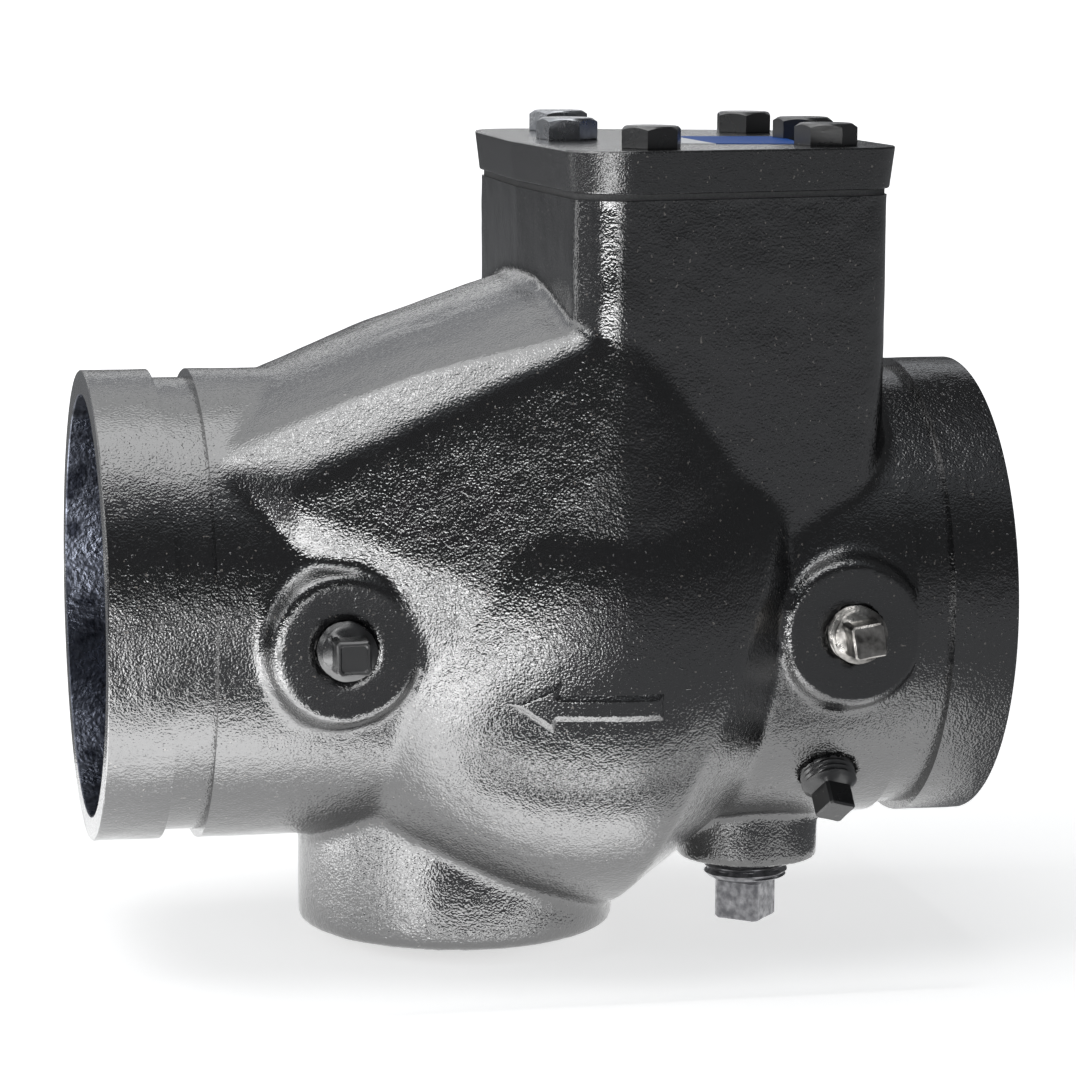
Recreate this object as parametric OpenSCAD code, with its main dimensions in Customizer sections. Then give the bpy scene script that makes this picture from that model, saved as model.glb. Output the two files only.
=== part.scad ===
// Grooved swing check valve for nominal 4 inch pipe. Water enters at the inlet
// end, lifts a hinged clapper off its seat and leaves at the outlet end.
// +X runs along the pipe from the outlet end face, where the origin lies on the
// pipe axis, to the inlet end. +Z is up and the gauge plugs face -Y.
// All sizes are in millimetres.

/* [Pipe ends] */
// Length between the two end faces
length = 218.3; // [216:0.1:236]
// Outside diameter of the pipe ends
pipe_d = 114.3; // [112:0.1:117]
// Wall of the pipe ends
pipe_wall = 6; // [5:0.25:7]
// Width of the gasket seat between an end face and its groove
groove_seat = 15.88; // [14:0.01:17]
// Width of each coupling groove
groove_w = 9.53; // [8:0.01:10.5]
// Depth of each coupling groove
groove_depth = 2.11; // [1.5:0.01:2.6]
// Chamfer round the outer edge of each end
lip_chamfer = 0.8; // [0.4:0.1:1]

/* [Chamber] */
// Distance from the outlet end to the middle of the ball-shaped chamber
ball_x = 118; // [116:0.5:120]
// Height of the middle of the ball above the pipe axis
ball_z = -3.5; // [-5:0.25:-2]
// Outer radius of the ball
ball_r = 75; // [73:0.5:78]
// Wall of the cast chamber
wall = 7; // [6:0.25:7.5]
// Where the roof over the opened clapper starts, from the outlet end
roof_x = 25; // [20:1:34]
// Angle from the top of the pipe at which the roof's ridges start
ridge_angle = 47; // [42:1:50]
// Radius of the two ridges along the roof
ridge_r = 6; // [5:0.5:8]
// Height of the ridge's centre line where it meets the neck
ridge_z = 67.5; // [63:0.5:69]
// Where the flanks under the ridges first bulge, from the outlet end
flank_x = 44; // [40:1:50]
// Angle from the top of the pipe at which the flanks bulge most
flank_angle = 53; // [50:1:58]
// How far the flanks stand out from the pipe there
flank_out = 7; // [4:0.5:8]
// Radius of the flanks' bulge
flank_r = 17; // [14:0.5:20]
// Height of the roof's crown where it meets the neck
crown_z = 84; // [81:0.5:87]
// How much the crown bulges above a straight line halfway along
crown_bulge = 1.5; // [0.5:0.25:3]

/* [Neck and cover] */
// Height of the neck's top face above the pipe axis
neck_top = 100.6; // [97:0.1:106]
// Wall of the neck
neck_wall = 7; // [6:0.25:8]
// Height above the pipe axis at which the neck's own hollow starts
neck_hollow_z = 10; // [0:1:20]
// Distance from the outlet end to the bolt at the neck's nose
nose_bolt_x = 118.95; // [117:0.25:121]
// Distance from the outlet end to the pair of outlet-side bolts
left_bolt_x = 127.85; // [126:0.25:130]
// Half the spacing of the outlet-side bolts
left_bolt_y = 50.7; // [49:0.25:52]
// Distance from the outlet end to the pair of inlet-side bolts
right_bolt_x = 173.65; // [172:0.25:175]
// Half the spacing of the inlet-side bolts
right_bolt_y = 37.7; // [36:0.25:39]
// Distance from the outlet end to the bolt at the neck's heel
heel_bolt_x = 178.65; // [177:0.25:179.5]
// Radius of the neck round the nose bolt
nose_r = 12.5; // [11:0.25:14]
// Radius of the neck's outlet-side corners
left_corner_r = 11; // [10:0.25:13]
// How far these corners stand out beyond their bolts, along the pipe
left_corner_out = 8.4; // [6:0.2:10]
// How far these corners stand out beyond their bolts, across the pipe
left_corner_side = 2.3; // [1:0.1:3]
// Radius of the neck's inlet-side corners
right_corner_r = 12; // [10:0.25:13]
// How far these corners stand out beyond their bolts
right_corner_out = 2.9; // [1:0.1:3.5]
// Thickness of the cover
cover_t = 10; // [8:0.25:13]
// How far the cover's lower edge stands out over the neck
cover_overhang = 0.5; // [0.2:0.1:1.5]
// How much wider the cover is at its upper edge, on each side
cover_draft = 1.2; // [0.5:0.1:1.6]
// Thickness of the cover gasket
gasket_t = 1.5; // [1:0.1:2.5]
// How far the gasket's edge lies inside the neck's edge
gasket_inset = 0.6; // [0.2:0.1:1.2]

/* [Cover bolts] */
// Thread diameter of the cover bolts
bolt_d = 8; // [6:0.5:9]
// Width across the flats of a bolt head
bolt_flats = 13; // [12:0.5:14]
// Height of a bolt head
bolt_head = 5.3; // [4:0.1:6.5]
// Length of thread in the neck
bolt_grip = 15; // [12:0.5:20]
// How much deeper the bolt holes are than the bolts reach
bolt_hole_extra = 3; // [1:0.5:4]
// Radius of the cast boss round each bolt hole in the neck
bolt_boss_r = 9; // [8:0.25:10]
// Length of these bosses below the neck's top face
bolt_boss_len = 24; // [22:1:28]

/* [Seat] */
// Distance of the seat's middle from the middle of the ball, along the pipe
seat_out = 33; // [31:0.5:35]
// Height of the seat's middle above the pipe axis
seat_z = -2; // [-3:0.25:-1]
// Lean of the seat from upright, in degrees
seat_tilt = 10; // [8:0.5:12]
// Radius of the waterway through the seat ring
seat_r = 42; // [40:0.5:43]
// Width of the seat ring from its bore to its rim
ring_w = 6.5; // [6:0.25:7]
// How far the seat ring stands out of the body
ring_proud = 2; // [1.6:0.1:2.6]
// Depth of the seat ring's pocket in the body
ring_depth = 8; // [7:0.25:9]
// Height of the raised bead that seals against the facing
bead_h = 1.2; // [0.6:0.1:1.4]
// Distance from the waterway to the bead's flat top
bead_edge = 1; // [0.6:0.1:1.4]
// Width of the bead's flat top
bead_w = 2.75; // [2:0.25:3]
// Thickness of the ledge under the seat ring
ledge = 4; // [3:0.25:5]
// Radius of the seat ring's O-ring section
o_ring_r = 1.2; // [1:0.05:1.3]
// Distance of the O-ring's groove from the ring's lower face
o_ring_up = 2; // [1.5:0.1:2.5]
// Wall of the body behind the seat, where the ball ends
seat_wall = 9; // [8:0.25:10]
// Height above the pipe axis at which the neck starts to flare into the ball
skirt_z = 50; // [46:0.5:54]
// How far the inlet duct inside the neck stands out over the pipe's surface
duct_over = 0.85; // [0.5:0.05:1.5]

/* [Clapper] */
// Thickness of the rubber facing
facing_t = 5; // [4:0.25:6]
// How far the facing reaches outwards past the bead
facing_reach = 1.75; // [1:0.25:2]
// Width of the clapper's rim round the facing
clapper_rim = 2.5; // [2:0.1:3]
// How much of the facing's edge the rim wraps
rim_wrap = 3.5; // [2.5:0.1:4]
// Thickness of the clapper's web
web_t = 5; // [4:0.25:6]
// How far the rim and ribs stand over the web
rib_h = 2; // [1.5:0.25:3]
// Width of the clapper's ribs
rib_w = 5; // [4:0.5:7]
// Radius of the clapper's hub
hub_r = 12; // [11:0.25:14]
// How far the hub stands over the web
hub_h = 4; // [3:0.25:5]
// Gap left between the closed facing and the bead
seat_gap = 0.2; // [0.1:0.05:0.3]
// Gap between the plate that clamps the facing and the waterway's wall
retainer_gap = 4; // [3:0.5:8]
// Thickness of the plate that clamps the facing
retainer_t = 3.5; // [2.5:0.25:5]
// Thread diameter of the bolt through the clapper
clamp_d = 10; // [8:0.5:12]

/* [Hinge] */
// Distance of the hinge pin from the clapper's rim, up the seat's face
hinge_reach = 16; // [15:0.25:18]
// Distance of the hinge pin in front of the seat's face
hinge_out = 12; // [11:0.25:13]
// Diameter of the hinge pin
pin_d = 10; // [8:0.25:11]
// Outer radius of the clapper's hinge eyes
eye_r = 9.5; // [9:0.25:10]
// Distance from the middle plane to the inner face of each eye
eye_in = 10; // [9:0.25:11]
// Width of each eye
eye_w = 12.5; // [11:0.25:13]
// Gap between an eye and the lug beside it
eye_gap = 0.7; // [0.4:0.1:1]
// Thickness of the body's hinge lugs
lug_t = 9; // [7:0.5:11]
// Outer radius of the hinge lugs
lug_r = 10; // [9.5:0.25:11]
// Wall of the bronze bushes in the eyes
bush_wall = 2; // [1.5:0.1:2.3]
// Radial running clearance between a bush and the pin
pin_gap = 0.05; // [0.03:0.01:0.09]
// Thickness of the clips on the pin's ends
clip_t = 1.2; // [1:0.1:1.6]
// Width of the clips' rings over the pin
clip_w = 3; // [2:0.1:4]
// Depth of the clips' grooves in the pin
clip_groove = 0.8; // [0.5:0.05:1]
// Wire diameter of the closing spring
wire_d = 2; // [1.6:0.1:2.2]
// Radius of the spring's coil to the middle of the wire
coil_r = 8; // [7.5:0.25:8.5]
// Number of full turns of the spring
coil_turns = 4; // [3:1:5]
// Reach of the spring's legs
leg_reach = 14; // [10:0.5:18]

/* [Ports] */
// Distance from the outlet end to the main drain's axis
drain_x = 91.55; // [89:0.25:94]
// Radius of the main drain's boss
drain_r = 39.3; // [37:0.1:41]
// Depth of the main drain's face below the pipe axis
drain_low = 81; // [80:0.25:84]
// Radius of the tapped hole in the main drain
drain_hole_r = 28.4; // [26:0.1:29]
// Length of the thread in the main drain
drain_thread = 23; // [20:0.5:25]
// Wall of the main drain's collar inside the chamber
drain_collar = 5; // [4:0.5:6]
// Rounding of the main drain's outer edge
drain_edge = 2; // [1:0.25:4]
// Distance from the outlet end to the outlet gauge port
outlet_gauge_x = 54.15; // [52:0.25:58]
// Distance from the pipe axis to the outlet gauge boss's face
outlet_gauge_face = 62; // [61:0.25:64]
// Distance from the outlet end to the inlet gauge port
inlet_gauge_x = 176.65; // [176:0.25:180]
// Distance from the pipe axis to the inlet gauge boss's face
inlet_gauge_face = 60.2; // [59.5:0.25:62]
// Height of both gauge ports above the pipe axis
gauge_z = -2; // [-4:0.25:0]
// Radius of the gauge bosses' faces
gauge_boss_r = 16.3; // [15:0.1:17.5]
// How far a gauge boss spreads at its foot
gauge_boss_spread = 3.6; // [2:0.2:4]
// Length of a gauge boss's tapered part
gauge_boss_taper = 5.8; // [4:0.2:7]
// Rounding of a gauge boss's outer edge
gauge_boss_edge = 1.2; // [0.6:0.1:2]
// Thread diameter of the gauge ports
gauge_thread = 13.7; // [12:0.1:15]
// Length of a gauge plug's thread inside its boss
gauge_plug_in = 9; // [6:0.25:9]
// Length of a gauge plug's thread outside its boss
gauge_plug_out = 4; // [2:0.25:5]
// Width across the flats of a gauge plug's square head
gauge_plug_square = 8; // [7:0.25:9.5]
// Height of a gauge plug's square head
gauge_plug_head = 8; // [6:0.25:10]
// Distance from the outlet end to the small drain port
small_drain_x = 166.75; // [166:0.25:170]
// Radius of the small drain's boss
small_drain_r = 18; // [16:0.25:19]
// Depth of the small drain's face below the pipe axis
small_drain_low = 68.5; // [66:0.25:71]
// Thread diameter of the small drain port
small_drain_thread = 21.3; // [19:0.1:22]
// Length of the small drain plug's thread inside its boss
small_drain_plug_in = 13; // [10:0.25:15]
// Length of the small drain plug's thread outside its boss
small_drain_plug_out = 5.5; // [3:0.25:7]
// Width across the flats of the small drain plug's square head
small_drain_plug_square = 12; // [11:0.25:14.5]
// Height of the small drain plug's square head
small_drain_plug_head = 10.6; // [8:0.2:12]
// Distance from the outlet end to the slanted test port
test_x = 176.15; // [176:0.25:180]
// Slant of the test port from straight down, in degrees
test_angle = 45; // [42:1:50]
// Thread diameter of the slanted test port
test_thread = 13.7; // [13:0.1:16]
// Distance from the pipe axis to the shoulder of the slanted plug
test_shoulder = 60.5; // [59:0.1:66]
// Width across the flats of the slanted plug's square head
test_plug_square = 7.5; // [7:0.25:10.5]
// Height of the slanted plug's square head
test_plug_head = 7.25; // [7:0.25:11]

/* [Hidden] */
// Clearance of pieces that are fixed in their holes
fit = 0.05;
// Clearance of the bolts in the cover and gasket
bolt_play = 0.5;
pipe_r = pipe_d / 2;
bore_r = pipe_r - pipe_wall;
groove_r = pipe_r - groove_depth;
groove_end = groove_seat + groove_w;
duct_r = pipe_r + duct_over;
seat_x = ball_x + seat_out;
ring_r = seat_r + ring_w;
bead_in = seat_r + bead_edge;
bead_out = bead_in + bead_w;
facing_r = bead_out + facing_reach;
retainer_r = seat_r - retainer_gap;
// Heights in the seat's own frame, measured along the flow from the bead
body_face = -ring_proud;
ring_face = -bead_h;
pocket_floor = body_face - ring_depth;
ledge_floor = pocket_floor - ledge;
facing_low = seat_gap;
facing_top = facing_low + facing_t;
web_top = facing_top + web_t;
rib_top = web_top + rib_h;
hub_top = web_top + hub_h;
clapper_r = facing_r + clapper_rim;
hinge_up = clapper_r + hinge_reach;
retainer_low = facing_low - retainer_t;
// Standard proportions of the bolt through the clapper, its washer and its nut
clamp_head = clamp_d * 0.64;
clamp_flats = clamp_d * 1.6;
clamp_washer_d = clamp_d * 2;
clamp_washer_t = clamp_d * 0.16;
clamp_nut_t = clamp_d * 0.8;
// How far the bolt's thread shows past its nut
thread_end = 1.5;
// Small edges and tapers of turned pieces
ring_chamfer = 1.5;
bead_slope = 0.6;
hub_taper = 1.5;
retainer_taper = 1;
pin_chamfer = 0.6;
// Side room of the O-ring in its groove
o_ring_room = 0.6;
// How far an arm or a lug starts under the surface of its eye
eye_bite = 1;
// How far a lug's root reaches below the seat ring's rim, and upstream past its eye
lug_root = 3;
lug_heel = 6;
// How far an arm's foot lies outside the hub and inside the clapper's rim, and in the web
arm_out = 6;
arm_in = 4;
arm_sink = 1;
// Hinge places across the pipe
bush_r = pin_d / 2 + pin_gap + bush_wall;
lug_in = eye_in + eye_w + eye_gap;
lug_out = lug_in + lug_t;
clip_gap = 0.2;
clip_in = lug_out + clip_gap;
pin_end = 1.6;
pin_half = clip_in + clip_t + pin_end;
// How much narrower than the pin's groove a clip's mouth is, on each side
clip_grip = 1;
// Gap between the spring's legs and what they rest on
leg_gap = 0.2;
// Where the holes of the side ports start, inside the bore
port_start = bore_r - pipe_wall;
cover_low = neck_top + gasket_t;
cover_top = cover_low + cover_t;
nose_bolt = [nose_bolt_x, 0];
heel_bolt = [heel_bolt_x, 0];
left_bolt = [left_bolt_x, left_bolt_y];
right_bolt = [right_bolt_x, right_bolt_y];
left_corner = [left_bolt_x - left_corner_out, left_bolt_y + left_corner_side];
// Depth of the roof's and the skirt's hulls under the ball's own surface
roof_core = 1.5;
skirt_core = 2.5;
// How far the ball's rim, the roof's first arch and its ridges start under the pipe's surface
rim_under = 2;
roof_under = 8;
ridge_under = 0.6;
// How much the roof falls from its crown to its sides, at the pipe and at the neck
roof_fall = 8;
neck_fall = 11;
// Radius of the roof's ridges inside the wall
inner_round = 1;
// Thickness of the thin slices that a hull is stretched over
slice = 0.5;
bolts = [nose_bolt, heel_bolt, left_bolt, right_bolt];
// Larger than anything it cuts
far = 400;
// Small overlap of cuts past a face
over = 1;

// Distance from the pipe axis to the bore's wall beside a hole of radius r
function bore_wall(r) = sqrt(bore_r * bore_r - r * r);

// Where a straight line from a point outside touches a circle round the origin
function touch(r, point, side) =
    let (angle = atan2(point[1], point[0]) + side * acos(r / norm(point)))
    r * [cos(angle), sin(angle)];

module along_pipe(x) {
    translate([x, 0, 0]) rotate([0, 90, 0]) children();
}

// The seat's frame: X climbs its face towards the hinge, Z follows the flow
module at_seat() {
    translate([seat_x, 0, seat_z]) rotate([0, seat_tilt - 90, 0]) children();
}

// The hinge's frame: Z points to the front along the pin
module at_hinge() {
    at_seat() translate([hinge_up, 0, hinge_out]) rotate([90, 0, 0]) children();
}

module downstream_of(height) {
    at_seat() translate([-far / 2, -far / 2, height]) cube(far);
}

module upstream_of(height) {
    at_seat() translate([-far / 2, -far / 2, height - far]) cube(far);
}

// Solid spool with both coupling grooves
module spool() {
    along_pipe(0) rotate_extrude($fn = 96) polygon([
        [0, 0], [pipe_r - lip_chamfer, 0], [pipe_r, lip_chamfer], [pipe_r, groove_seat],
        [groove_r, groove_seat], [groove_r, groove_end], [pipe_r, groove_end],
        [pipe_r, length - groove_end], [groove_r, length - groove_end],
        [groove_r, length - groove_seat], [pipe_r, length - groove_seat],
        [pipe_r, length - lip_chamfer], [pipe_r - lip_chamfer, length], [0, length]]);
}

// A thin arch across the pipe that a hull stretches the roof over
module roof_rib(x, crown, half_width, drop) {
    rib_r = (half_width * half_width + drop * drop) / (2 * drop);
    half_angle = asin(half_width / rib_r);
    translate([x, 0, crown - rib_r]) rotate([90, 0, 90]) linear_extrude(slice)
        polygon([for (i = [-4:4]) rib_r * [sin(half_angle * i / 4), cos(half_angle * i / 4)]]);
}

// A thin round slice across the pipe that a hull stretches a ridge or a flank from
module round_slice(x, y, z, r) {
    translate([x, y, z]) rotate([0, 90, 0]) linear_extrude(slice) circle(r = r, $fn = 32);
}

// Ends a shape at the seat's wall, with its rim sloped back to the pipe's surface
module ball_end(inset, end_height) {
    rim_r = pipe_r - rim_under - inset;
    intersection() {
        children();
        at_seat() translate([0, 0, end_height])
            cylinder(r1 = rim_r, r2 = rim_r + far, h = far, $fn = 96);
    }
}

// The ball's part in a hull lies a little under the ball's own surface
module ball_core(inset, depth, end_height) {
    ball_end(inset + depth, end_height) translate([ball_x, 0, ball_z])
        sphere(r = ball_r - depth - inset, $fn = 32);
}

// Ball-shaped chamber, the roof that rises from the pipe to the neck, and the
// skirt that carries the neck's walls down to the ball
module chamber_form(inset, end_height) {
    ridge_start = pipe_r - ridge_r - ridge_under;
    ridge_start_y = ridge_start * sin(ridge_angle);
    ridge_start_z = ridge_start * cos(ridge_angle);
    ridge_end_y = left_corner[1] + left_corner_r - ridge_r;
    start_crown = pipe_r - roof_under;
    mid_x = (roof_x + left_corner[0]) / 2;
    mid_crown = (start_crown + crown_z) / 2 + crown_bulge;
    ridge_start_x = max(roof_x, groove_end) + slice;
    flank_in = pipe_r + flank_out - flank_r;
    flank_y = flank_in * sin(flank_angle);
    flank_z = flank_in * cos(flank_angle);
    // Inside, a ridge keeps a small round and moves in until its wall is thick enough
    round_r = max(ridge_r - inset, inner_round);
    sunk = (round_r + inset - ridge_r) / sqrt(2);
    ball_end(inset, end_height) translate([ball_x, 0, ball_z]) sphere(r = ball_r - inset, $fn = 96);
    hull() {
        roof_rib(roof_x, start_crown - inset, ridge_start_y - inset / 2, roof_fall);
        roof_rib(mid_x, mid_crown - inset, (ridge_start_y + ridge_end_y) / 2 - inset / 2, roof_fall);
        roof_rib(left_corner[0], crown_z - inset, ridge_end_y - inset / 2, neck_fall);
        for (side = [-1, 1]) {
            round_slice(ridge_start_x, side * (ridge_start_y - sunk), ridge_start_z - sunk, round_r);
            round_slice(flank_x, side * flank_y, flank_z, flank_r - inset);
            translate([left_corner[0], side * (ridge_end_y - sunk), ridge_z - sunk])
                sphere(r = round_r, $fn = 24);
        }
        ball_core(inset, roof_core, end_height);
    }
    hull() {
        translate([0, 0, skirt_z]) linear_extrude(slice) neck_corners(-inset - skirt_core);
        ball_core(inset, skirt_core, end_height);
    }
}

// Rounded corners of the neck, grown or shrunk, seen from above
module neck_corners(grow) {
    translate(nose_bolt) circle(r = nose_r + grow, $fn = 48);
    for (side = [-1, 1]) {
        translate([left_corner[0], side * left_corner[1]])
            circle(r = left_corner_r + grow, $fn = 48);
        translate([right_bolt_x + right_corner_out, side * right_bolt_y])
            circle(r = right_corner_r + grow, $fn = 48);
    }
}

module neck_outline(grow) {
    hull() neck_corners(grow);
}

module at_bolts() {
    for (place = bolts) {
        for (side = place[1] > 0 ? [-1, 1] : [1]) {
            translate([place[0], side * place[1]]) children();
        }
    }
}

// Round boss with a spread foot, standing on z = 0 with its face at the given height
module gauge_boss(height) {
    rotate_extrude($fn = 64) polygon([[0, 0], [gauge_boss_r + gauge_boss_spread, 0],
        [gauge_boss_r + gauge_boss_spread, height - gauge_boss_edge - gauge_boss_taper],
        [gauge_boss_r + gauge_boss_edge, height - gauge_boss_edge], [gauge_boss_r, height],
        [0, height]]);
}

// Main drain's boss, from its face upwards
module drain_boss() {
    rotate_extrude($fn = 96) polygon([[0, 0], [drain_r - drain_edge, 0],
        for (turn = [22.5:22.5:67.5]) [drain_r, drain_edge] + drain_edge * [sin(turn) - 1, -cos(turn)],
        [drain_r, drain_edge], [drain_r, drain_low - bore_wall(drain_r)],
        [0, drain_low - bore_wall(drain_r)]]);
}

module at_gauge(x) {
    translate([x, 0, gauge_z]) rotate([90, 0, 0]) children();
}

module at_test_port() {
    translate([test_x, 0, 0]) rotate([180 - test_angle, 0, 0]) children();
}

module outer_form() {
    spool();
    chamber_form(0, body_face - seat_wall);
    linear_extrude(neck_top) neck_outline(0);
    translate([drain_x, 0, -drain_low]) drain_boss();
    translate([small_drain_x, 0, -small_drain_low])
        cylinder(r = small_drain_r, h = small_drain_low - bore_wall(small_drain_r), $fn = 64);
    at_gauge(outlet_gauge_x) gauge_boss(outlet_gauge_face);
    at_gauge(inlet_gauge_x) gauge_boss(inlet_gauge_face);
}

// Hollow of the chamber and neck, round the inlet duct and the drain's collar
module cavity() {
    difference() {
        union() {
            intersection() {
                chamber_form(wall, body_face - wall);
                downstream_of(body_face);
            }
            translate([0, 0, neck_hollow_z]) linear_extrude(neck_top) neck_outline(-neck_wall);
        }
        intersection() {
            along_pipe(0) cylinder(r = duct_r, h = length, $fn = 96);
            upstream_of(body_face);
        }
        translate([drain_x, 0, -drain_low])
            cylinder(r = drain_hole_r + drain_collar, h = drain_thread, $fn = 96);
    }
}

// Cast lug that carries one end of the hinge pin
module hinge_lug() {
    core = lug_r - eye_bite;
    root = ring_r - hinge_up - lug_root;
    front = [root, body_face - hinge_out];
    back = [root, -lug_r - hinge_out - lug_heel];
    cylinder(r = lug_r, h = lug_t, $fn = 48);
    linear_extrude(lug_t) polygon([touch(core, front, -1), front, back, touch(core, back, 1)]);
}

// Hole of a side port, from inside the bore to past its face
module port_hole(thread_d, face) {
    translate([0, 0, port_start])
        cylinder(d = thread_d + 2 * fit, h = face - port_start + over, $fn = 48);
}

module body() {
    color("#1d1e20") difference() {
        union() {
            difference() {
                outer_form();
                cavity();
            }
            translate([0, 0, neck_top - bolt_boss_len]) at_bolts()
                cylinder(r = bolt_boss_r, h = bolt_boss_len, $fn = 48);
            at_hinge() translate([0, 0, lug_in]) hinge_lug();
            at_hinge() translate([0, 0, -lug_out]) hinge_lug();
        }
        along_pipe(-over) cylinder(r = bore_r, h = ball_x, $fn = 96);
        intersection() {
            along_pipe(ball_x) cylinder(r = bore_r, h = length - ball_x + over, $fn = 96);
            upstream_of(ledge_floor);
        }
        at_seat() translate([0, 0, pocket_floor])
            cylinder(r = ring_r + fit, h = ring_depth + over, $fn = 96);
        at_seat() translate([0, 0, ledge_floor - over])
            cylinder(r = seat_r, h = ledge + 2 * over, $fn = 96);
        at_hinge() translate([0, 0, -lug_out - over])
            cylinder(d = pin_d + 2 * fit, h = 2 * (lug_out + over), $fn = 48);
        translate([drain_x, 0, -drain_low - over])
            cylinder(r = drain_hole_r, h = drain_low - bore_wall(drain_hole_r) + 2 * over, $fn = 96);
        translate([small_drain_x, 0, -small_drain_low - over])
            cylinder(d = small_drain_thread + 2 * fit, $fn = 48,
                h = small_drain_low - bore_wall(small_drain_thread / 2) + 2 * over);
        at_gauge(outlet_gauge_x) port_hole(gauge_thread, outlet_gauge_face);
        at_gauge(inlet_gauge_x) port_hole(gauge_thread, inlet_gauge_face);
        at_test_port() port_hole(test_thread, test_shoulder);
        translate([0, 0, neck_top - bolt_grip - bolt_hole_extra]) at_bolts()
            cylinder(d = bolt_d + 2 * fit, h = bolt_grip + bolt_hole_extra + over, $fn = 32);
    }
}

module seat_ring() {
    groove_in = ring_r - 2 * o_ring_r;
    groove_low = pocket_floor + o_ring_up;
    groove_high = groove_low + 2 * o_ring_r + o_ring_room;
    color("#b08d57") at_seat() rotate_extrude($fn = 96) polygon([
        [seat_r + ring_chamfer, pocket_floor], [ring_r, pocket_floor], [ring_r, groove_low],
        [groove_in, groove_low], [groove_in, groove_high], [ring_r, groove_high],
        [ring_r, ring_face], [bead_out + bead_slope, ring_face], [bead_out, 0], [bead_in, 0],
        [seat_r, ring_face], [seat_r, pocket_floor + ring_chamfer]]);
}

module seat_o_ring() {
    color("#151515") at_seat() translate([0, 0, pocket_floor + o_ring_up + o_ring_room / 2 + o_ring_r])
        rotate_extrude($fn = 96) translate([ring_r - o_ring_r + fit / 2, 0])
            circle(r = o_ring_r, $fn = 24);
}

// Turned shape of the clapper: web, rim round the facing and hub
module clapper_disc() {
    rotate_extrude($fn = 96) polygon([
        [clamp_d / 2 + fit, facing_top], [facing_r + fit, facing_top],
        [facing_r + fit, facing_top - rim_wrap], [clapper_r, facing_top - rim_wrap],
        [clapper_r, web_top], [clapper_r - rib_h, rib_top],
        [clapper_r - rib_w - rib_h, rib_top], [clapper_r - rib_w - 2 * rib_h, web_top],
        [hub_r + hub_taper, web_top], [hub_r, hub_top], [clamp_d / 2 + fit, hub_top]]);
}

// Arm from the web up to a hinge eye, drawn from the side
module clapper_arm() {
    core = eye_r - eye_bite;
    under = facing_top + arm_sink - hinge_out;
    foot = hub_r + arm_out - hinge_up;
    upper = [foot, rib_top - hinge_out];
    lower = [clapper_r - arm_in - hinge_up, under];
    cylinder(r = eye_r, h = eye_w, $fn = 48);
    linear_extrude(eye_w)
        polygon([touch(core, upper, -1), upper, [foot, under], lower, touch(core, lower, 1)]);
}

module clapper() {
    color("#8a6d3b") difference() {
        union() {
            at_seat() clapper_disc();
            at_seat() for (turn = [120:60:240]) {
                rotate([0, 0, turn]) translate([hub_r - over, -rib_w / 2, web_top - over])
                    cube([clapper_r - hub_r - rib_w - rib_h, rib_w, rib_h + over]);
            }
            at_hinge() translate([0, 0, eye_in]) clapper_arm();
            at_hinge() translate([0, 0, -eye_in - eye_w]) clapper_arm();
        }
        at_hinge() translate([0, 0, -lug_in])
            cylinder(r = bush_r + fit / 2, h = 2 * lug_in, $fn = 48);
    }
}

module clapper_facing() {
    color("#1b1b1d") at_seat() translate([0, 0, facing_low]) difference() {
        cylinder(r = facing_r, h = facing_t, $fn = 96);
        translate([0, 0, -over]) cylinder(d = clamp_d + 2 * fit, h = facing_t + 2 * over, $fn = 48);
    }
}

module facing_retainer() {
    color("#b9bcc0") at_seat() translate([0, 0, retainer_low]) difference() {
        cylinder(r1 = retainer_r - retainer_taper, r2 = retainer_r, h = retainer_t, $fn = 96);
        translate([0, 0, -over]) cylinder(d = clamp_d + 2 * fit, h = retainer_t + 2 * over, $fn = 48);
    }
}

// Six-sided head or nut of a given width across the flats
module hexagon(flats, height) {
    cylinder(d = flats / cos(30), h = height, $fn = 6);
}

module retainer_bolt() {
    shank = hub_top + clamp_washer_t + clamp_nut_t + thread_end - retainer_low;
    color("#c4c6c8") at_seat() {
        translate([0, 0, retainer_low - clamp_head]) hexagon(clamp_flats, clamp_head);
        translate([0, 0, retainer_low]) cylinder(d = clamp_d, h = shank, $fn = 48);
    }
}

module retainer_washer() {
    color("#c4c6c8") at_seat() translate([0, 0, hub_top]) difference() {
        cylinder(d = clamp_washer_d, h = clamp_washer_t, $fn = 64);
        translate([0, 0, -over])
            cylinder(d = clamp_d + 2 * fit, h = clamp_washer_t + 2 * over, $fn = 48);
    }
}

module retainer_nut() {
    color("#c4c6c8") at_seat() translate([0, 0, hub_top + clamp_washer_t]) difference() {
        hexagon(clamp_flats, clamp_nut_t);
        translate([0, 0, -over]) cylinder(d = clamp_d + 2 * fit, h = clamp_nut_t + 2 * over, $fn = 48);
    }
}

module hinge_pin() {
    groove_r = pin_d / 2 - clip_groove;
    color("#b9bcc0") at_hinge() rotate_extrude($fn = 48) polygon([
        [0, -pin_half], [pin_d / 2 - pin_chamfer, -pin_half], [pin_d / 2, pin_chamfer - pin_half],
        [pin_d / 2, -clip_in - clip_t], [groove_r, -clip_in - clip_t], [groove_r, -clip_in],
        [pin_d / 2, -clip_in], [pin_d / 2, clip_in], [groove_r, clip_in], [groove_r, clip_in + clip_t],
        [pin_d / 2, clip_in + clip_t], [pin_d / 2, pin_half - pin_chamfer],
        [pin_d / 2 - pin_chamfer, pin_half], [0, pin_half]]);
}

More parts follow.
